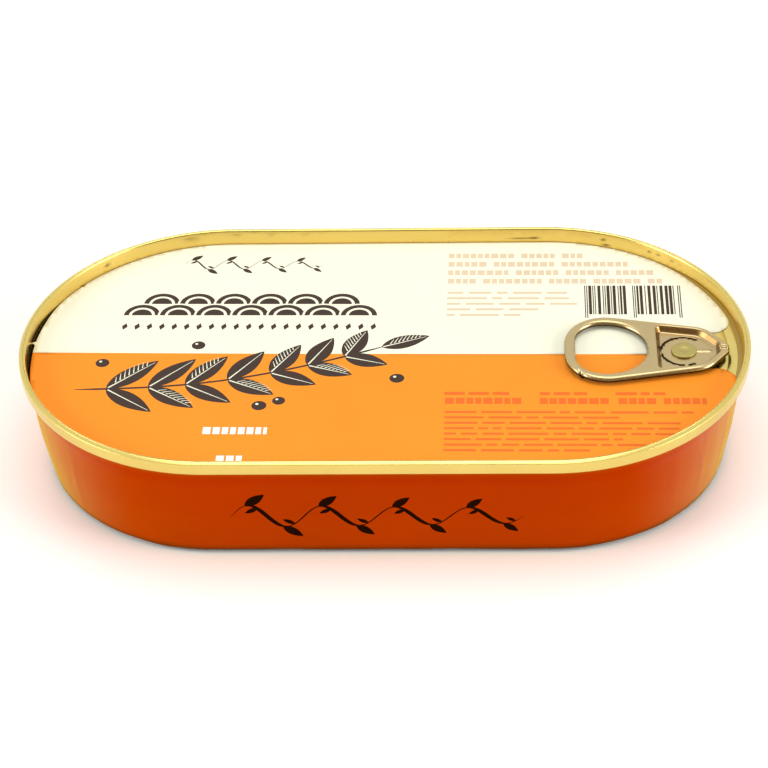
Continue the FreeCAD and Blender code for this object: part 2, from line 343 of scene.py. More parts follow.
lid_profile = rounded(
    [
        (PANEL_END, PANEL_UNDER, 0),
        (CHANNEL_INNER + SHEET, PANEL_UNDER, 0.1),
        (CHANNEL_INNER + 0.05, CHANNEL_FLOOR - 0.15, 0.15),
        (WALL_FOOT - 0.05, CHANNEL_FLOOR - 0.15, 0.15),
        (NECK_INSET + 0.08, SEAM_BOTTOM - 0.2, 0.1),
        (NECK_INSET - 0.1, SEAM_BOTTOM, 0.05),
        (0.06, SEAM_BOTTOM, 0.45),
        (0.0, HEIGHT - 0.36, 0.1),
        (0.6, HEIGHT, 0.85),
        (SEAM_THICK - 0.1, HEIGHT, 0.45),
        (CURL_INSET, CHUCK_TOP, 0.7),
        *[(CURL_INSET + CHUCK_LEAN * at, CHUCK_TOP - CHUCK_DROP * at, 0) for at in CHUCK_RINGS],
        (WALL_FOOT, CHANNEL_FLOOR, 0.12),
        (CHANNEL_INNER - 0.08, CHANNEL_FLOOR, 0.2),
        (CHANNEL_INNER, PANEL_TOP, 0.12),
        (SCORE_INSET - SCORE_HALF, PANEL_TOP, 0),
        (SCORE_INSET, PANEL_TOP - SCORE_DEPTH, 0.05),
        (SCORE_INSET + SCORE_HALF, PANEL_TOP, 0),
        (PANEL_END, PANEL_TOP, 0),
    ],
    step=math.radians(15),
)


def seam_unevenness(along, inset, z):
    """Slight waves that the seaming rolls leave, and a channel that is only deep at the left end."""
    share = np.clip((z - PANEL_TOP) / (HEIGHT - PANEL_TOP), 0, 1)
    turn = 2 * math.pi * along / PERIMETER
    wave = 0.02 * np.sin(7 * turn + 1.0) + 0.015 * np.sin(17 * turn + 0.4)
    across = np.clip((inset - 1.3) / 0.25, 0, 1) * np.clip((CHANNEL_INNER + SHEET - inset) / 0.15, 0, 1)
    below = np.clip(PANEL_TOP - z, 0, PANEL_TOP - CHANNEL_FLOOR) - 0.02
    left_end = np.exp(-(((along - LEFT_END + 1.5) / 15.0) ** 4))
    raised = (1 - left_end) * np.clip(below, 0, None) * across
    return share * (0.03 + wave * 0.6), raised - share * (0.02 + wave * 0.5)


lid_tinplate = gold_lacquer("gold lacquered tinplate, seamed", "#E2CD78", "#D6BF69", 0.24, 0.15)
lid = carried_round("lid_seamed", lid_profile, [lid_tinplate], 0.5, seam_unevenness)
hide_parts("lid")


def lid_shade_and_marks(x, y, z):
    """Painted shade, dark in the deep part of the channel and at the chuck wall's foot; dark in the
    score; and the small marks that handling left on the chuck wall.
    """
    inset = inset_at(x, y)
    inside = (inset > 1.4) * (inset < CHANNEL_INNER + 0.1)
    channel = np.clip((PANEL_TOP - z) / 0.3, 0, 1) * inside
    foot = 0.45 * np.exp(-(((z - PANEL_TOP) / 0.14) ** 2)) * inside
    marks = np.zeros_like(x)
    for mark_x, mark_y, mark_z, wide, high in CHUCK_MARKS:
        away = np.hypot(x - mark_x, y - mark_y) / wide
        marks += np.exp(-(away**2) - ((z - mark_z) / high) ** 2)
    marks *= (inset > SEAM_THICK) * (inset < WALL_FOOT + 0.05)
    score = np.clip((PANEL_TOP - z) / SCORE_DEPTH, 0, 1) * (np.abs(inset - SCORE_INSET) < 0.1)
    return np.clip(channel + foot + 0.4 * score + 0.8 * marks, 0, 1)


def chuck_wall(x, y, z):
    """The chuck wall, painted a warmer gold as a painted reflection of the label it faces."""
    inset = inset_at(x, y)
    return np.clip((inset - SEAM_THICK + 0.1) / 0.1, 0, 1) * (inset < CHANNEL_INNER) * (z > PANEL_UNDER)


# Painted shade in the channel and at the chuck wall's foot, a dark score line, and handling marks.
paint(lid, "painted_shade_and_dirt", lid_shade_and_marks)
# Painted reflection: the chuck wall is painted a warmer gold.
paint(lid, "painted_reflection", chuck_wall)

# ------------------------------------------------------------
# Ring pull. Bare steel under a clear satin lacquer, blanked and then curled in at its edges, so
# its rims are round. A finger hole, and an island pressed down to the rivet inside a C-shaped cut.
TAB_LOW, TAB_HIGH = (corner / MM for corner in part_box("ring_tab"))
TAB_BACK = 24.0
TAB_NOSE = 9.1
RIVET_X = TAB_HIGH.x - TAB_NOSE
RIVET_Y = (TAB_LOW.y + TAB_HIGH.y) / 2
TAB_BACK_HALF = 12.6
TAB_SHOULDER = 4.7
TAB_SHOULDER_HALF = 6.9
TAB_TOP = TAB_HIGH.z
TAB_UNDER = TAB_TOP - 1.2
ISLAND_UNDER = TAB_LOW.z
ISLAND_FLOOR = ISLAND_UNDER + 0.45
ISLAND_SLOPE = 1.2
RIM_RADIUS = 0.78
RIM_UNDER_RADIUS = 0.4
HOLE_BACK = 2.15 - TAB_BACK
HOLE_FRONT = -7.35
HOLE_RIM = 2.2
ISLAND_BACK = -5.7
ISLAND_FRONT = 4.0
SHANK_HOLE_RADIUS = 1.65
SLOT_RADIUS = 4.65
SLOT_WIDTH = 0.35
SLOT_TURNS = ((54, 268), (279, 296))
NOSE_FOLDS = (6.4, 8.7)
DASH_MIDDLE = 4.0
DASH_HALF = 1.25
DASH_BED = (2.6, 5.4)


def tab_side(x):
    """Half the ring pull's width at x from the rivet."""
    share = (x + TAB_BACK) / (TAB_SHOULDER + TAB_BACK)
    return TAB_BACK_HALF + share * (TAB_SHOULDER_HALF - TAB_BACK_HALF)


def unit(vectors):
    """The vectors, each brought to length 1."""
    return vectors / np.maximum(np.linalg.norm(vectors, axis=1, keepdims=True), 1e-9)


def offset_loop(loop, distance):
    """The loop moved inwards by a distance, for a loop that runs round clockwise."""
    ahead = unit(np.roll(loop, -1, axis=0) - loop)
    tangent = unit(ahead + np.roll(ahead, 1, axis=0))
    return loop + np.stack([tangent[:, 1], -tangent[:, 0]], axis=1) * distance


def even(loop, spacing):
    """The closed loop with extra points, so that none are further apart than spacing."""
    points = []
    for start, end in zip(loop, np.roll(loop, -1, axis=0)):
        count = max(1, math.ceil(np.linalg.norm(end - start) / spacing))
        points.extend(start + (end - start) * part / count for part in range(count))
    return np.array(points)


def within(points, loop):
    """Which plan points lie inside a closed loop."""
    inside = np.zeros(len(points), bool)
    low, high = loop.min(0), loop.max(0)
    near = np.flatnonzero(((points >= low) & (points <= high)).all(1))
    x, y = points[near].T
    crossed = np.zeros(len(near), bool)
    for (ax, ay), (bx, by) in zip(loop, np.roll(loop, -1, axis=0)):
        if ay != by:
            spans = (ay > y) != (by > y)
            crossed ^= spans & (x < ax + (y - ay) * (bx - ax) / (by - ay))
    inside[near] = crossed
    return inside


def nearest(points, loop):
    """Distance from each plan point to a closed loop."""
    best = np.full(len(points), np.inf)
    for start, end in zip(loop, np.roll(loop, -1, axis=0)):
        run = end - start
        share = np.clip(((points - start) @ run) / max(run @ run, 1e-12), 0, 1)
        best = np.minimum(best, np.hypot(*(points - start - share[:, None] * run).T))
    return best


def cut_sheet(name, outline, upper, under, materials, grid, holes=(), guides=(), prints=()):
    """Closed sheet piece, cut from a flat outline and then formed.

    upper and under turn (n, 2) plan points into the two faces' places. The under face and the cut
    edge take the last material. guides are more loops that the mesh follows. prints are (material
    number, loops), each laid over those before.
    """
    low, high = outline.min(0), outline.max(0)
    columns = [np.arange(low[axis] + grid[axis] / 2, high[axis], grid[axis]) for axis in (0, 1)]
    mesh_points = np.stack(np.meshgrid(*columns), axis=-1).reshape(-1, 2)
    mesh_points = mesh_points[within(mesh_points, outline)]
    points, edges = [mesh_points], []
    count = len(mesh_points)
    for loop in [outline, *holes, *guides, *(loop for _, loops in prints for loop in loops)]:
        points.append(loop)
        numbers = np.arange(len(loop))
        edges.extend(np.stack([count + numbers, count + np.roll(numbers, -1)], axis=1).tolist())
        count += len(loop)
    flat = [Vector(point) for point in np.concatenate(points)]
    cut_points, _, cut_faces, *_ = delaunay_2d_cdt(flat, edges, [], 0, 1e-5)
    cut_points = np.array([tuple(point) for point in cut_points])
    cut_faces = np.array(cut_faces)
    middles = cut_points[cut_faces].mean(1)
    kept = within(middles, outline)
    for hole in holes:
        kept &= ~within(middles, hole)
    cut_faces, middles = cut_faces[kept], middles[kept]
    slots = np.zeros(len(cut_faces), int)
    for number, loops in prints:
        for loop in loops:
            slots[within(middles, loop)] = number
    used, cut_faces = np.unique(cut_faces, return_inverse=True)
    cut_faces = cut_faces.reshape(-1, 3)
    cut_points = cut_points[used]
    total = len(cut_points)
    sides = np.concatenate([cut_faces[:, [0, 1]], cut_faces[:, [1, 2]], cut_faces[:, [2, 0]]])
    known = {tuple(side) for side in sides.tolist()}
    rim = [(b, a, a + total, b + total) for a, b in sides.tolist() if (b, a) not in known]
    faces = cut_faces.tolist() + (cut_faces[:, ::-1] + total).tolist() + rim
    last = len(materials) - 1
    slots = slots.tolist() + [last] * (len(cut_faces) + len(rim))
    places = np.concatenate([upper(cut_points), under(cut_points)])
    return piece_from(name, places, faces, materials, slots)


def tab_loop(upper, spacing=0.5):
    """Closed loop of the ring pull, from the corners of the half with v > 0 and their mirror image."""
    lower = [(u, -v, radius) for u, v, radius in reversed(upper)]
    return even(rounded(upper + lower, closed=True, step=math.radians(6)), spacing)


tab_outline = tab_loop(
    [
        (-TAB_BACK, TAB_BACK_HALF, 8.5),
        (TAB_SHOULDER, TAB_SHOULDER_HALF, 6.0),
        (TAB_NOSE, 1.15, 1.2),
    ]
)
hole_half = tab_side((HOLE_BACK + HOLE_FRONT) / 2) - HOLE_RIM
hole_corners = [(HOLE_BACK, hole_half, hole_half - 2.6), (HOLE_FRONT, hole_half, hole_half - 0.15)]
tab_hole = tab_loop(hole_corners)
island = tab_loop(
    [
        (ISLAND_BACK, tab_side(ISLAND_BACK) - 1.1, 1.5),
        (ISLAND_FRONT, tab_side(ISLAND_FRONT) - 0.95, 5.0),
        (TAB_NOSE - 1.6, 1.6, 2.0),
    ],
    0.4,
)


def arc(radius, start, end, count):
    """Points on an arc about 0, 0 between two headings in degrees."""
    angles = np.radians(np.linspace(start, end, count))
    return np.stack([radius * np.cos(angles), radius * np.sin(angles)], axis=1)


def ring_slot(start, end):
    """C-shaped cut about the rivet between two angles."""
    outer = arc(SLOT_RADIUS + SLOT_WIDTH / 2, start, end, 40)
    inner = arc(SLOT_RADIUS - SLOT_WIDTH / 2, end, start, 40)
    return np.concatenate([outer, inner])


tab_slots = [ring_slot(start, end) for start, end in SLOT_TURNS]
shank_hole = arc(SHANK_HOLE_RADIUS, 0, 360, 25)[:-1]
rim_turns = [math.radians(turn) for turn in (12, 26, 40, 54, 68, 80, 90)]
rim_depths = [RIM_RADIUS * (1 - math.cos(turn)) for turn in rim_turns]
tab_guides = [offset_loop(tab_outline, depth) for depth in rim_depths]
tab_guides += [offset_loop(tab_hole, -depth) for depth in rim_depths]
tab_guides += [offset_loop(island, ISLAND_SLOPE * share) for share in np.linspace(-0.1, 1.1, 13)]
for (back, front), sides in (
    (NOSE_FOLDS, np.linspace(-0.9, 0.9, 13)),
    (DASH_BED, (-0.3, -0.2, -0.1, 0, 0.1, 0.2, 0.3)),
):
    tab_guides += [even(np.array([(back, v), (front, v)]), 0.2) for v in sides]


def smooth_step(share):
    """0 to 1 with no corner at either end."""
    share = np.clip(share, 0, 1)
    return share * share * (3 - 2 * share)


def curl(distance, radius):
    """How far a rounded rim of that radius drops at a distance from its edge."""
    left = np.clip(radius - distance, 0, radius)
    return radius - np.sqrt(radius * radius - left * left)


def island_share(points):
    """How far the sheet is pressed down towards the island's floor, 0 to 1."""
    depth = nearest(points, island) * np.where(within(points, island), 1, -1)
    return smooth_step(depth / ISLAND_SLOPE)


def rim_nick(x, y):
    """1 along a short cut across the ring's front left rim, 0 elsewhere."""
    along = (x + 20.9) * 0.94 + (y + 8.6) * 0.33
    across = (y + 8.9) * 0.94 - (x + 20.9) * 0.33
    return np.exp(-((along / 0.24) ** 2)) * np.exp(-((across / 1.0) ** 4))


def tab_upper(points):
    """Top of the ring pull: round rims, a crowned ring, the pressed island and the folded nose."""
    edge = nearest(points, tab_outline)
    hole_edge = nearest(points, tab_hole)
    z = TAB_TOP - curl(edge, RIM_RADIUS) - curl(hole_edge, RIM_RADIUS)
    z -= 0.06 * np.exp(-((np.minimum(edge, hole_edge) / 0.9) ** 2))
    z = z + (ISLAND_FLOOR - z) * island_share(points)
    x, y = points.T
    near_nose = smooth_step((x - TAB_NOSE + 2.6) / 1.0)
    folds = np.exp(-(((y - 0.35) / 0.17) ** 2)) + 0.7 * np.exp(-(((y + 0.6) / 0.2) ** 2))
    z = z - near_nose * (0.34 * folds - 0.14 * np.exp(-(((y + 0.1) / 0.2) ** 2)))
    dash_end = np.maximum(np.abs(x - DASH_MIDDLE) - DASH_HALF, 0)
    z = z + 0.16 * smooth_step(1.3 - np.hypot(dash_end, y) / 0.24)
    z = z - 0.55 * rim_nick(x, y) * smooth_step(1.8 - edge)
    return np.stack([x + RIVET_X, y + RIVET_Y, z], axis=1)


def tab_lower(points):
    """Underside of the ring pull, rounded at its edges and pressed down under the island."""
    edge = np.minimum(nearest(points, tab_outline), nearest(points, tab_hole))
    x, y = points.T
    z = TAB_UNDER + curl(edge, RIM_UNDER_RADIUS)
    z = z + (ISLAND_UNDER - z) * island_share(points)
    return np.stack([x + RIVET_X, y + RIVET_Y, z], axis=1)


STREAK_LENGTH = 6.0
STEEL_CLOUD = 4.0
# Rolling streaks and stipple are well under 0.1 mm wide, too fine to show, so they are coarser.
STREAK_WIDTH = 0.25
STIPPLE = 0.3
STEEL_RELIEF = 0.02


def satin_steel(name):
    """Steel under satin lacquer: soft streaks along the rolling direction and a fine stipple."""
    material = new_material(name)
    spot = add_node(material, "TexCoord").outputs["Object"]
    across = per_mm(STREAK_WIDTH)
    along = add_node(material, "Mapping", Vector=spot, Scale=(per_mm(STREAK_LENGTH), across, across))
    streaks = add_node(material, "TexNoise", Vector=along, Scale=1.0, Detail=2.0)
    cloud = add_node(material, "TexNoise", Vector=spot, Scale=per_mm(STEEL_CLOUD), Detail=2.0)
    tint = add_node(
        material,
        "Mix",
        {"data_type": "RGBA"},
        in_0=cloud,
        in_6=linear("#C9B485"),
        in_7=linear("#BCA677"),
    )
    # The island's walls take a painted dark reflection, and the rims, slots and nick painted shade.
    with_painted_reflection = overlaid(material, tint.outputs[2], "painted_reflection", "#84602E")
    with_painted_shade_and_dirt = overlaid(material, with_painted_reflection, "painted_shade_and_dirt", "#1C0E06")
    stipple = add_node(material, "TexNoise", Vector=spot, Scale=per_mm(STIPPLE), Detail=2.0)
    height = add_node(material, "Mix", in_0=0.5, in_2=streaks, in_3=stipple)
    relief = add_node(material, "Bump", Strength=0.25, Distance=STEEL_RELIEF * MM, Height=height)
    wear_and_glare = add_node(material, "MapRange", Value=streaks, To_Min=0.22, To_Max=0.34)
    shader = add_node(
        material, "BsdfPrincipled", Base_Color=with_painted_shade_and_dirt, Metallic=1.0, Roughness=wear_and_glare, Normal=relief
    )
    add_node(material, "OutputMaterial", Surface=shader)
    return material


tab_steel = satin_steel("satin lacquered steel, curled")
ring_tab = cut_sheet(
    "ring_tab_curled",
    tab_outline,
    tab_upper,
    tab_lower,
    [tab_steel],
    (0.45, 0.45),
    holes=[tab_hole, shank_hole, *tab_slots],
    guides=tab_guides,
)


def tab_painted_shade(x, y, z):
    """Painted shade, dark under the curled rims, in the slots and in the nick."""
    points = np.stack([x - RIVET_X, y - RIVET_Y], axis=1)
    edge = np.minimum(nearest(points, tab_outline), nearest(points, tab_hole))
    under_rim = np.clip((TAB_TOP - 0.4 - z) / 0.35, 0, 1) * (edge < RIM_RADIUS)
    slots = np.min([nearest(points, slot) for slot in tab_slots], axis=0) < 0.03
    return np.clip(under_rim + slots + 0.9 * rim_nick(*points.T), 0, 1)


def tab_painted_reflection(x, y, z):
    """The island's walls, painted brown as a dark painted reflection."""
    pressed = island_share(np.stack([x - RIVET_X, y - RIVET_Y], axis=1))
    return 0.85 * (4 * pressed * (1 - pressed)) ** 0.6


# Painted shade under the rims, in the slots and in the nick.
paint(ring_tab, "painted_shade_and_dirt", tab_painted_shade)
# Painted dark reflection on the island's walls.
paint(ring_tab, "painted_reflection", tab_painted_reflection)
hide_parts("ring_tab")

# ------------------------------------------------------------
# Rivet. Raised from the lid's own sheet in three strokes, then staked flat over the island, which
# leaves a low button with a struck dimple at its middle.
BOSS_RADIUS = 3.2
SHANK_RADIUS = 1.6
HEAD_RADIUS = 2.6
RIVET_TOP = ISLAND_FLOOR + 0.45
rivet_profile = rounded(
    [
        (BOSS_RADIUS, PANEL_TOP - 0.02, 0),
        (BOSS_RADIUS, ISLAND_UNDER - 0.03, 0.1),
        (SHANK_RADIUS, ISLAND_UNDER - 0.03, 0),
        (SHANK_RADIUS, ISLAND_FLOOR + 0.01, 0),
        (HEAD_RADIUS - 0.1, ISLAND_FLOOR + 0.01, 0.1),
        (HEAD_RADIUS, RIVET_TOP - 0.02, 0.16),
        (1.1, RIVET_TOP, 0.8),
        (0.6, RIVET_TOP - 0.15, 0.3),
        (0.0, RIVET_TOP - 0.17, 0),
    ]
)


def turned(name, profile, centre, materials, count=72):
    """Piece of a (radius, z) profile turned about an upright axis, closed at its first ring."""
    angles = 2 * math.pi * np.arange(count) / count
    rings = profile[:-1]
    x = centre[0] + rings[:, 0][None, :] * np.cos(angles)[:, None]
    y = centre[1] + rings[:, 0][None, :] * np.sin(angles)[:, None]
    z = np.tile(rings[:, 1], (count, 1))
    vertices = np.stack([x, y, z], axis=-1).reshape(-1, 3)
    vertices = np.concatenate([vertices, [[*centre, profile[-1, 1]]]])
    quads, first_end, last_end = skin(*z.shape)
    fan = [(last_end[row - 1], last_end[row], len(vertices) - 1) for row in range(count)]
    return piece_from(name, vertices, quads + [first_end] + fan, materials)


staked_tinplate = gold_lacquer("gold lacquered tinplate, staked", "#B8AA68", "#A89A5C", 0.5, 0.5)
rivet = turned("rivet_staked", rivet_profile, (RIVET_X, RIVET_Y), [staked_tinplate])
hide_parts("lid")

# ------------------------------------------------------------
# Wrap label. One strip of coated paper, printed orange, is wound round the body and glued
# where its end laps over its start at the back. Its orange is drawn darker, as a deep orange, which is
# painted shade for the upright wall. It follows the waist and the ridge under the seam and is creased
# upright at both ends, where pale glare is painted on it; painted shade darkens its lower edge, which
# runs a little unevenly.
PAPER = 0.12
PAPER_CLEARANCE = 0.02
WRAP_LAP = 8.0
WRAP_START = 14.0
WRAP_LENGTH = PERIMETER + WRAP_LAP
WRAP_LOW = 1.1
WRAP_HIGH = SEAM_BOTTOM - 0.8
RIDGE_HIGH = SEAM_BOTTOM - 3.1
FRONT_MIDDLE = 2 * HALF_STRAIGHT + END_ARC
FRONT_DENT = (FRONT_MIDDLE - 38.2, 10.5)
# Each crease's distance from the middle of its end, its height and its width.
END_CREASES = (
    (-36.0, 0.07, 1.6),
    (-27.0, 0.1, 1.1),
    (-17.5, 0.12, 0.9),
    (-11.0, 0.09, 1.3),
    (-3.0, 0.12, 0.8),
    (5.5, 0.1, 1.2),
    (14.0, 0.12, 0.9),
    (21.0, 0.08, 1.4),
    (31.0, 0.1, 1.0),
)
wall_line = rounded(WALL)[::-1]


def end_creases(distance, z):
    """Upright creases where the paper goes round the tin's ends, each a low rounded ridge."""
    ridge = np.zeros_like(distance)
    for middle in (LEFT_END, RIGHT_END):
        for place, height, width in END_CREASES:
            lean = 0.04 * place * (z / WRAP_HIGH - 0.5)
            away = np.mod(distance - middle - place - lean + PERIMETER / 2, PERIMETER) - PERIMETER / 2
            ridge += height * np.exp(-((away / width) ** 2))
    return ridge * np.sin(math.pi * np.clip((z - WRAP_LOW + 1.5) / (WRAP_HIGH - WRAP_LOW + 3), 0, 1))


def wrap_face(points, lift):
    """Places of strip points (distance along, height) pressed round the body, lifted off it."""
    distance, z = points.T
    turn = 2 * math.pi * distance / PERIMETER
    lower_edge = 0.05 * np.sin(23 * turn) + 0.03 * np.sin(37 * turn + 1.3) + 0.05 * np.sin(11 * turn)
    z = z + lower_edge * np.clip(1 - (z - WRAP_LOW) / 4.0, 0, 1)
    lap = (PAPER + PAPER_CLEARANCE) * smooth_step((distance - PERIMETER + 3.0) / 2.5)
    spot = distance - WRAP_START
    bulge = 0.03 * (1 + np.sin(9 * turn + 0.11 * z)) * np.sin(math.pi * np.clip(z / WRAP_HIGH, 0, 1))
    dent = 0.1 * np.exp(-(((spot - FRONT_DENT[0]) / 0.4) ** 2) - ((z - FRONT_DENT[1]) / 1.8) ** 2)
    wall = np.interp(z, wall_line[:, 1], wall_line[:, 0])
    inset = wall - lift - lap - end_creases(spot, z) - bulge - dent
    places, outwards = walk(spot)
    return np.column_stack([places - outwards * inset[:, None], z])


INK_CLOUD = 22.0
# Paper fibres are about 0.03 mm wide, too fine to show, so the tooth is drawn at 0.5 mm.
PAPER_TOOTH = 0.5
TOOTH_HEIGHT = 0.02


def printed_paper(name, ink_hex, roughness, gloss=0.5, haze=0.0, cloudiness=0.03):
    """Offset ink on coated paper: an even field with a faint fibre tooth and slight clouding.

    haze is the soft glow of its loose fibres at low angles. Pale glare is painted where the
    paper would catch the light, and dark painted shade along a cut edge near the table.
    """
    material = new_material(name)
    spot = add_node(material, "TexCoord").outputs["Object"]
    cloud = add_node(material, "TexNoise", Vector=spot, Scale=per_mm(INK_CLOUD), Detail=3.0)
    tooth = add_node(material, "TexNoise", Vector=spot, Scale=per_mm(PAPER_TOOTH), Detail=3.0)
    uneven = add_node(material, "Mix", in_0=0.35, in_2=cloud, in_3=tooth)
    lightness = add_node(
        material,
        "MapRange",
        Value=uneven,
        From_Min=0.3,
        From_Max=0.7,
        To_Min=1 - cloudiness,
        To_Max=1 + cloudiness,
    )
    ink = add_node(material, "HueSaturation", Color=linear(ink_hex), Value=lightness)
    # A pale glare is painted where the paper would catch the light, and dark painted shade near the
    # table.
    with_painted_glare = overlaid(material, ink, "painted_glare", "#FAD8BC")
    with_painted_shade = overlaid(material, with_painted_glare, "painted_shade_and_dirt", "#3A1408")
    relief = add_node(material, "Bump", Strength=0.25, Distance=TOOTH_HEIGHT * MM, Height=tooth)
    shader = add_node(
        material,
        "BsdfPrincipled",
        Base_Color=with_painted_shade,
        Roughness=roughness,
        Specular_IOR_Level=gloss,
        Sheen_Weight=haze,
        Sheen_Roughness=0.36,
        Sheen_Tint=linear("#FFEC28"),
        Normal=relief,
    )
    add_node(material, "OutputMaterial", Surface=shader)
    return material


def pen(points, thin, thick, slant=-62):
    """Quads of a flat-nibbed pen stroke along points: thick on the down strokes, thin elsewhere."""
    points = np.asarray(points)
    ahead = unit(np.gradient(points, axis=0))
    down = np.array([math.cos(math.radians(slant)), math.sin(math.radians(slant))])
    share = np.abs(ahead @ down) ** 3
    ends = np.minimum(1, np.linspace(0.15, 6, len(points)) * np.linspace(6, 0.15, len(points)) / 3)
    half = ((thin + (thick - thin) * share) * ends / 2)[:, None]
    side = np.stack([-ahead[:, 1], ahead[:, 0]], axis=1)
    left, right = points + side * half, points - side * half
    return [np.array([left[i], left[i + 1], right[i + 1], right[i]]) for i in range(len(points) - 1)]


def leaf(base, heading, length, width):
    """Pointed oval loop that grows from its base along a heading in degrees."""
    share = np.linspace(0, 1, 15)
    half = width / 2 * np.sin(math.pi * share**0.85) ** 0.85
    upper = np.stack([length * share, half], axis=1)
    lower = np.stack([length * share, -half], axis=1)[::-1][1:-1]
    return turned_to(np.concatenate([upper, lower]), base, heading)


def turned_to(points, base, heading):
    """Points of a motif turned to a heading in degrees and moved to its base."""
    cos, sin = math.cos(math.radians(heading)), math.sin(math.radians(heading))
    x, y = np.asarray(points).T
    return np.stack([base[0] + x * cos - y * sin, base[1] + x * sin + y * cos], axis=1)


def vine(start, length, height, thin, thick):
    """Pen-drawn running vine: a waving stem with one pointed leaf on each of its bends."""
    bends = 8
    points_each = 30
    share = np.linspace(0, 1, points_each * bends)
    swing = height * (0.26 - 0.08 * share)
    stem = np.stack([length * share, swing * np.sin(math.pi * bends * share)], axis=1)
    loops = pen(stem + start, thin, thick)
    for bend in range(bends):
        side = -1 if bend % 2 else 1
        size = height * (0.42 - 0.12 * bend / bends)
        foot = stem[points_each * bend + 12] + start
        loops.append(leaf(foot, side * 38, size, 0.42 * size))
        foot = stem[points_each * bend + 22] + start
        loops.append(leaf(foot, -side * 152, 0.55 * size, 0.22 * size))
    return loops


wrap_outline = even(
    np.array([(0, WRAP_LOW), (0, WRAP_HIGH), (WRAP_LENGTH, WRAP_HIGH), (WRAP_LENGTH, WRAP_LOW)]), 0.8
)
wrap_ink = vine((FRONT_MIDDLE + WRAP_START - 29.0, 10.8), 57.0, 12.0, 0.25, 1.0)
# The wrap's orange is darkened to a deep orange: painted shade, as the upright wall gets less light.
wrap_paper = printed_paper("coated paper, printed orange, deepened as painted shade", "#B62C00", 0.25, 0.0, 1.0, 0.06)
wrap_dark = printed_paper("coated paper, printed blackish brown", "#200A04", 0.25, 0.0, 0.05)
paper_edge = printed_paper("uncoated paper, cut edge and back", "#EFE9DC", 0.8)
wrap_label = cut_sheet(
    "wrap_label_wound",
    wrap_outline,
    lambda points: wrap_face(points, PAPER_CLEARANCE + PAPER),
    lambda points: wrap_face(points, PAPER_CLEARANCE),
    [wrap_paper, wrap_dark, paper_edge],
    (0.5, 1.0),
    prints=[(1, wrap_ink)],
)
# The cut edges stay crisp, so that they don't catch the light as a bright line.
wrap_label.data.set_sharp_from_angle(angle=math.radians(60))


def painted_glare_on_ends(x, y, z):
    """Painted glare: a pale highlight on the ridge under the seam at both ends, a broad pale glare over
    each end's middle, and pale lines along the creases.
    """
    end = np.clip((np.abs(x) - HALF_STRAIGHT - 15.0) / 22.0, 0, 1)
    ridge = np.exp(-(((z - RIDGE_HIGH) / 0.4) ** 2))
    around = np.arctan2(y, np.abs(x) - HALF_STRAIGHT) * END_RADIUS
    wear_and_glare = np.exp(-((around / 30.0) ** 2))
    waver = 0.7 * np.sin(around / 3.1 + np.sign(x)) + 0.1 * z
    crease_glints = np.exp(-((np.sin(math.pi * around / 8.5 + waver) / 0.16) ** 2))
    return end * (0.12 * ridge + wear_and_glare * (0.38 + 0.08 * crease_glints * np.clip(z / 8.0, 0, 1)))


# Painted glare and highlights at both ends of the wrap.
paint(wrap_label, "painted_glare", painted_glare_on_ends)
# Painted shade: a dark band along the lower edge, near the table.
paint(wrap_label, "painted_shade_and_dirt", lambda x, y, z: 0.85 * np.exp(-(((z - WRAP_LOW) / 0.55) ** 2)))
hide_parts("wrap_label")

# ------------------------------------------------------------
# Top label. Coated paper, die-cut to the panel with a notch for the ring pull's nose, and printed
# in cream and orange with dark brown ornament. Laid by hand, it sits askew and stops short of the
# left end, where one torn fibre bridges the gap, and its edge is nicked once.
LABEL_INSET = 1.68
LABEL_SHORT = 0.6
LABEL_TURN = -0.65
LABEL_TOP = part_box("top_label")[1].z / MM
NOTCH_HALF = 6.1
NOTCH_BACK = RIVET_X - 6.4
NOTCH_MIDDLE = RIVET_Y + 1.05
NOTCH_MOUTH = 5.2
SPLIT = -1.25
CREAM, ORANGE, DARK, TAN, RUST, WHITE = range(6)
LOZENGE = [(0, -1.2), (0.62, 0), (0, 1.2), (-0.62, 0)]
# Each peppercorn's place and radius.
PEPPERCORNS = (
    (-24.0, -18.6, 1.5),
    (-20.2, -17.0, 1.3),
    (-38.0, 1.6, 1.4),
    (-57.0, -4.5, 1.4),
    (3.0, -9.5, 1.5),
)


def laid(loop):
    """A loop of the printed design, turned with the label onto the tin."""
    return turned_to(loop, (0, 0), LABEL_TURN)


def label_edge():
    """Outline of the label: the panel's stadium, cut short at the left, with the notch and a nick."""
    along = np.flip(stations(0.6))
    places, outwards = walk(along)
    short = LABEL_SHORT * np.exp(-(((along - LEFT_END + 3.0) / 12.0) ** 4))
    short += LABEL_SHORT * np.exp(-(((along - RIGHT_END - 16.0) / 16.0) ** 4))
    nick = 0.45 * np.exp(-(((along - LEFT_END + 26.5) / 0.45) ** 2))
    fibre = -0.85 * np.exp(-(((along - LEFT_END + 2.9) / 0.35) ** 4))
    edge = places - outwards * (LABEL_INSET + short + nick + fibre)[:, None]
    lower, upper = NOTCH_MIDDLE - NOTCH_HALF, NOTCH_MIDDLE + NOTCH_HALF
    in_notch = edge[:, 0] > NOTCH_BACK
    in_notch &= (edge[:, 1] > lower - NOTCH_MOUTH) & (edge[:, 1] < upper + NOTCH_MOUTH)
    first = np.flatnonzero(in_notch & ~np.roll(in_notch, 1))[0]
    last = np.flatnonzero(in_notch & ~np.roll(in_notch, -1))[0]
    start, end = edge[first], edge[last]
    notch = rounded(
        [
            (*start, 0),
            (start[0] + 0.6, upper, 3.8),
            (NOTCH_BACK, upper, NOTCH_HALF - 0.05),
            (NOTCH_BACK, lower, NOTCH_HALF - 0.05),
            (end[0] + 0.6, lower, 3.8),
            (*end, 0),
        ]
    )
    kept = np.roll(edge, -last - 1, axis=0)[: len(edge) - (last - first + 1) % len(edge)]
    return np.concatenate([notch, kept])


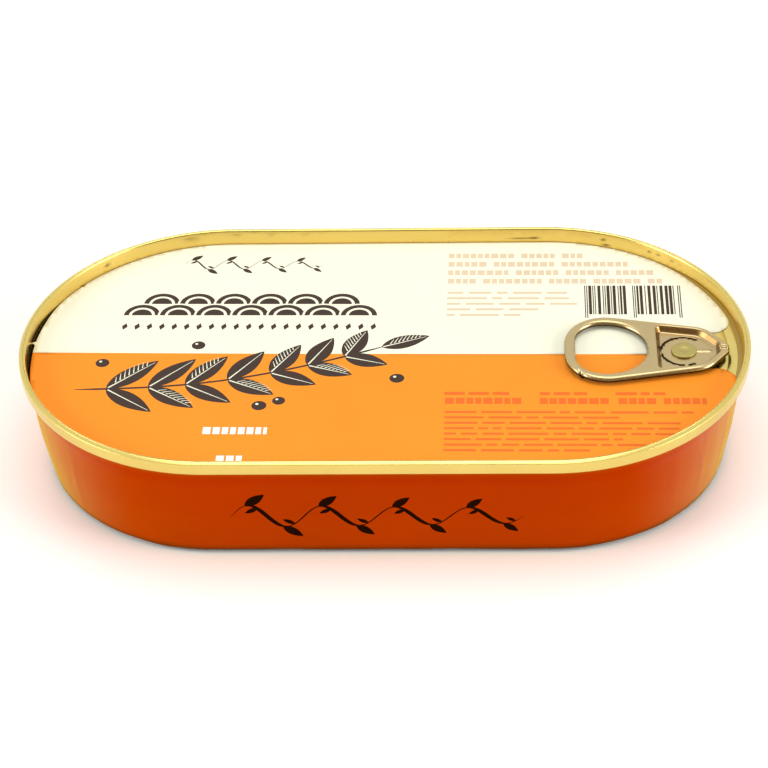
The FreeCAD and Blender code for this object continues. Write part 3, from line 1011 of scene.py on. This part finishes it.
def field(left, low, right, high):
    """Upright rectangle of print, as a loop in the tin's plan."""
    return laid([(left, low), (right, low), (right, high), (left, high)])


def round_dot(middle, radius, start=0, end=360, count=40):
    """Disc, or a part of one closed by its chord, as a loop in the tin's plan."""
    return laid(arc(radius, start, end, count) + np.array(middle))


def wave_scales(left, low, right, count):
    """Layers of a traditional wave pattern: two rows of domes, each of dark and light arcs."""
    pitch = (right - left) / count
    layers = []
    for lift, domes, shift in ((0.54, count - 1, 1.0), (0.0, count, 0.5)):
        for number in range(domes):
            middle = (left + pitch * (number + shift), low + pitch * lift)
            for ink, size in ((CREAM, 0.56), (DARK, 0.5), (CREAM, 0.36), (DARK, 0.28)):
                layers.append((ink, [round_dot(middle, pitch * size, 0, 180)]))
    return layers


def words(left, low, right, high, seed, longest=9.0, gap=1.1):
    """Row of plain rounded bars of uneven lengths, as lines of small print stand on a pack."""
    chance = np.random.default_rng(seed)
    loops = []
    place = left
    while place < right - 1.5:
        length = min(chance.uniform(1.6, longest), right - place)
        loops.append(field(place, low, place + length, high))
        place += length + gap
    return loops


def blocks(left, low, right, high, seed, width=1.25, gap=0.35):
    """Row of small upright blocks in groups, as heavy as a line of bold print."""
    chance = np.random.default_rng(seed)
    loops = []
    place = left
    group = chance.integers(4, 10)
    while place < right - width / 2:
        block = width * chance.uniform(0.8, 1.25)
        loops.append(field(place, low, min(place + block, right), high))
        place += block + gap
        group -= 1
        if group == 0:
            place += 2.2 * gap + 0.4
            group = chance.integers(4, 10)
    return loops


def stripes(left, low, right, high, seed):
    """Plain upright stripes of uneven widths, spaced as on a scanner panel."""
    chance = np.random.default_rng(seed)
    module = (right - left) / 95
    loops = []
    for guard in (left, (left + right) / 2, right - 3 * module):
        loops.append(field(guard, low - 1.2, guard + module, high))
        loops.append(field(guard + 2 * module, low - 1.2, guard + 3 * module, high))
    for first in (left + 4 * module, (left + right) / 2 + 4 * module):
        place = first
        while place < first + 38 * module:
            width = module * chance.choice([1, 1, 2, 3, 3])
            loops.append(field(place, low, place + width, high))
            place += width + module * chance.choice([1, 1, 2, 2])
    return loops


def line(start, end, width):
    """Thin straight line as a loop, pointed at its end."""
    start, end = np.array(start), np.array(end)
    ahead = (end - start) / np.linalg.norm(end - start)
    side = np.array([-ahead[1], ahead[0]]) * width / 2
    return np.array([start + side, start - side, end - side * 0.3, end + side * 0.3])


def bay_leaf(base, heading, length, width, hatched):
    """Layers of one dark leaf with a light midrib, and light hatching on one half of some."""
    layers = [(DARK, [laid(leaf(base, heading, length, width))])]
    ribs = [turned_to(line((0.04 * length, 0), (0.93 * length, 0), 0.32), base, heading)]
    if hatched:
        for share in np.arange(0.2, 0.85, 0.085):
            reach = width / 2 * math.sin(math.pi * share**0.85) ** 0.85
            foot = share * length
            hatch = line((foot, 0.35), (foot + 0.75 * reach, reach * 0.98), 0.24)
            ribs.append(turned_to(hatch, base, heading))
    return layers + [(CREAM, [laid(rib) for rib in ribs])]


def bay_sprig():
    """Layers of a long arching sprig of bay with peppercorns, across the two fields of colour."""
    share = np.linspace(0, 1, 60)
    stem_y = -13.5 + 15.0 * share - 4.0 * np.sin(math.pi * share)
    stem = np.stack([-61.5 + 62 * share, stem_y], axis=1)
    layers = [(DARK, [laid(quad) for quad in pen(stem, 0.55, 0.8)])]
    for number, place in enumerate((0.1, 0.23, 0.36, 0.49, 0.62, 0.75, 0.87)):
        here = round(place * (len(stem) - 1))
        base = stem[here]
        heading = math.degrees(math.atan2(*(stem[here + 1] - stem[here - 1])[::-1]))
        length = 14.0 - 4.5 * place
        layers += bay_leaf(base, heading + 42, length, 4.6, number % 2 == 0)
        layers += bay_leaf(base, heading - 40, length * 0.92, 4.4, number % 2 == 1)
    layers += bay_leaf(stem[-2], 22, 10.5, 4.2, True)
    for x, y, radius in PEPPERCORNS:
        glint = (x - radius * 0.3, y + radius * 0.35)
        layers.append((DARK, [round_dot((x, y), radius)]))
        layers.append((CREAM, [round_dot(glint, radius * 0.22, count=14)]))
    return layers


# The orange field, then the ornament from the back to the front.
prints = [(ORANGE, [field(-90, -60, 90, SPLIT)])]
prints.append((DARK, [laid(quad) for quad in vine((-44.0, 30.8), 30.0, 7.0, 0.14, 0.4)]))
prints += wave_scales(-54.7, 12.2, -1.9, 7)
lozenges = [laid(turned_to(LOZENGE, (u, 8.2), -12)) for u in np.linspace(-54, -2.5, 21)]
prints.append((DARK, lozenges))
prints += bay_sprig()
# Small print and stripes on the cream field.
for row, end in enumerate((41.5, 50.5, 56.5, 58.0)):
    prints.append((TAN, blocks(12.5, 33.2 - 3.15 * row, end, 35.0 - 3.15 * row, 20 + row)))
for row, end in enumerate((37.5, 38.0, 39.5, 31.5, 28.5)):
    prints.append((TAN, words(12.5, 20.0 - 2.0 * row, end, 20.75 - 2.0 * row, 30 + row)))
prints.append((DARK, stripes(41.1, 12.6, 61.1, 23.0, 3)))
# Small print on the orange field, and two short rows left white.
for left, right in ((12.6, 25.5), (31.5, 41.5), (46.5, 57.0)):
    prints.append((RUST, words(left, -15.0, right, -14.0, round(left), 4.5, 0.7)))
for left, right in ((12.8, 28.0), (31.5, 45.3), (47.0, 64.3)):
    prints.append((RUST, blocks(left, -17.9, right, -15.9, round(left), 1.5, 0.35)))
for row, end in enumerate((61.5, 49.0, 59.0, 58.5, 60.5, 47.5, 57.0, 41.0)):
    prints.append((RUST, words(12.8, -20.9 - 1.72 * row, end, -20.2 - 1.72 * row, 40 + row, 8.0, 0.9)))
prints.append((WHITE, blocks(-34.4, -27.8, -21.8, -25.6, 5, 1.35, 0.4)))
prints.append((WHITE, blocks(-31.0, -36.6, -25.2, -34.5, 7, 1.3, 0.4)))


def label_face(points, lift):
    """Places of label points on the panel, faintly cockled, raised along the short left end."""
    x, y = points.T
    cockle = 0.5 + 0.25 * np.sin(0.17 * x + 0.8) * np.cos(0.21 * y) + 0.25 * np.sin(0.31 * y + 0.1 * x)
    raised = 0.22 * smooth_step((-x - 66.0) / 5.5) * np.exp(-((y / 17.0) ** 4))
    z = LABEL_TOP + 0.03 * cockle + raised - lift
    return np.stack([x, y, z], axis=1)


label_papers = [
    printed_paper("coated paper, " + print_name, ink_hex, 0.5, gloss)
    for print_name, ink_hex, gloss in (
        ("printed cream", "#FCFADF", 0.15),
        ("printed orange", "#FD9628", 0.15),
        ("printed dark brown", "#3C2C22", 0.2),
        ("printed pale tan", "#E6CFAE", 0.2),
        ("printed rust", "#EE6E22", 0.2),
        ("left white", "#FAF8F2", 0.2),
    )
]
top_label = cut_sheet(
    "top_label_laid",
    label_edge(),
    lambda points: label_face(points, 0),
    lambda points: label_face(points, PAPER),
    [*label_papers, paper_edge],
    (1.2, 1.2),
    prints=prints,
)
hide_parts("top_label")

# ------------------------------------------------------------
# Table, light and camera. The tin stands on a matt white table in a white room, under one broad
# soft lamp, with a weaker one to each side. A pale brown card stands behind the camera, which
# only the lacquer and the steel mirror: it gives their edges the darker half of their shine.
CAMERA_RISE = math.radians(36.899)
CAMERA_YAW = math.radians(-2.906)
CAMERA_ROLL = math.radians(2.039)
CAMERA_DISTANCE = 523.2
AIM = Vector((0.0, 0.0, 12.5))
AIM_SHIFT = (0.259, -1.382)
SENSOR = 36.0
FOCAL_SHARE = 3.3117
ROOM_LIGHT = 0.5
LAMP_WATTS = 2.75
SIDE_LAMP_WATTS = 4.2
TABLE_HALF = 3.0
# Distances from the tin's middle, in metres, between which the table turns to pure white.
WHITENING = (0.1, 0.6)


def seen_directly(material):
    """1 for rays from the camera, mirrored or passed through, which meet a white room, else 0."""
    rays = add_node(material, "LightPath")
    seen = rays.outputs["Is Camera Ray"]
    for kind in ("Is Glossy Ray", "Is Transmission Ray"):
        seen = add_node(material, "Math", {"operation": "MAXIMUM"}, in_0=seen, in_1=rays.outputs[kind])
    return seen


def flat_sheet(name, corners, material):
    """Plain four-cornered sheet."""
    mesh = bpy.data.meshes.new(name)
    mesh.from_pydata(corners, [], [(0, 1, 2, 3)])
    mesh.materials.append(material)
    return put_in(name, mesh)


def matt_white(name):
    """Smooth matt laminate: plain white, which shades near the tin and is pure white further out."""
    material = new_material(name)
    spot = add_node(material, "TexCoord").outputs["Object"]
    reach = add_node(material, "VectorMath", {"operation": "LENGTH"}, in_0=spot).outputs["Value"]
    sweep = add_node(material, "MapRange", Value=reach, From_Min=WHITENING[0], From_Max=WHITENING[1])
    near, far = linear("#594531"), linear("#FFFFFF")
    bleach = add_node(material, "Mix", {"data_type": "RGBA"}, in_0=sweep, in_6=near, in_7=far)
    plain = add_node(material, "BsdfDiffuse", Color=linear("#FDFBF8"))
    lift = add_node(material, "BsdfDiffuse", Color=bleach.outputs[2])
    white = add_node(material, "AddShader", in_0=plain, in_1=lift)
    seen = add_node(material, "MixShader", in_0=seen_directly(material), in_1=plain, in_2=white)
    add_node(material, "OutputMaterial", Surface=seen)
    return material


table_corners = [(x * TABLE_HALF, y * TABLE_HALF, 0) for x, y in ((-1, -1), (1, -1), (1, 1), (-1, 1))]
table = flat_sheet("table", table_corners, matt_white("matt white table"))

world = bpy.data.worlds.new("white room")
bpy.context.scene.world = world
world.use_nodes = True
world.node_tree.nodes.clear()
room_strength = add_node(world, "MapRange", Value=seen_directly(world), To_Min=ROOM_LIGHT, To_Max=1.0)
room = add_node(world, "Background", Color=linear("#FFFFFF"), Strength=room_strength)
add_node(world, "OutputWorld", Surface=room)


def hang_lamp(name, place, width, depth, watts):
    """Soft box that faces the tin."""
    lamp_data = bpy.data.lights.new(name, "AREA")
    lamp_data.shape = "RECTANGLE"
    lamp_data.size = width
    lamp_data.size_y = depth
    lamp_data.energy = watts
    lamp = put_in(name, lamp_data)
    lamp.location = place
    lamp.rotation_euler = (-lamp.location).to_track_quat("-Z", "Y").to_euler()


hang_lamp("overhead lamp", (0.0, 0.06, 0.9), 0.6, 0.6, LAMP_WATTS)
hang_lamp("left lamp", (-0.8, -0.25, 0.35), 0.5, 0.4, SIDE_LAMP_WATTS)
hang_lamp("right lamp", (0.8, -0.25, 0.35), 0.5, 0.4, SIDE_LAMP_WATTS)

card_material = new_material("pale brown card")
card_face = add_node(card_material, "BsdfDiffuse", Color=linear("#A8967C"))
add_node(card_material, "OutputMaterial", Surface=card_face)
card_corners = [(-1.5, -1.0, 0.15), (1.5, -1.0, 0.15), (1.5, -0.55, 1.4), (-1.5, -0.55, 1.4)]
card = flat_sheet("brown card", card_corners, card_material)
card.visible_camera = False
card.visible_diffuse = False
card.visible_shadow = False

turn_yaw = Matrix.Rotation(CAMERA_YAW, 3, "Z")
tilt = Matrix.Rotation(CAMERA_RISE - math.pi / 2, 3, "X")
roll = Matrix.Rotation(CAMERA_ROLL, 3, "Z")
from_camera = (roll @ tilt @ turn_yaw).transposed()
camera_data = bpy.data.cameras.new("camera")
camera_data.sensor_width = SENSOR
camera_data.lens = SENSOR * FOCAL_SHARE
camera = put_in("camera", camera_data)
eye = AIM + from_camera @ Vector((-AIM_SHIFT[0], -AIM_SHIFT[1], CAMERA_DISTANCE))
camera.matrix_world = Matrix.Translation(eye * MM) @ from_camera.to_4x4()
bpy.context.scene.camera = camera
bpy.context.scene.view_settings.view_transform = "Standard"
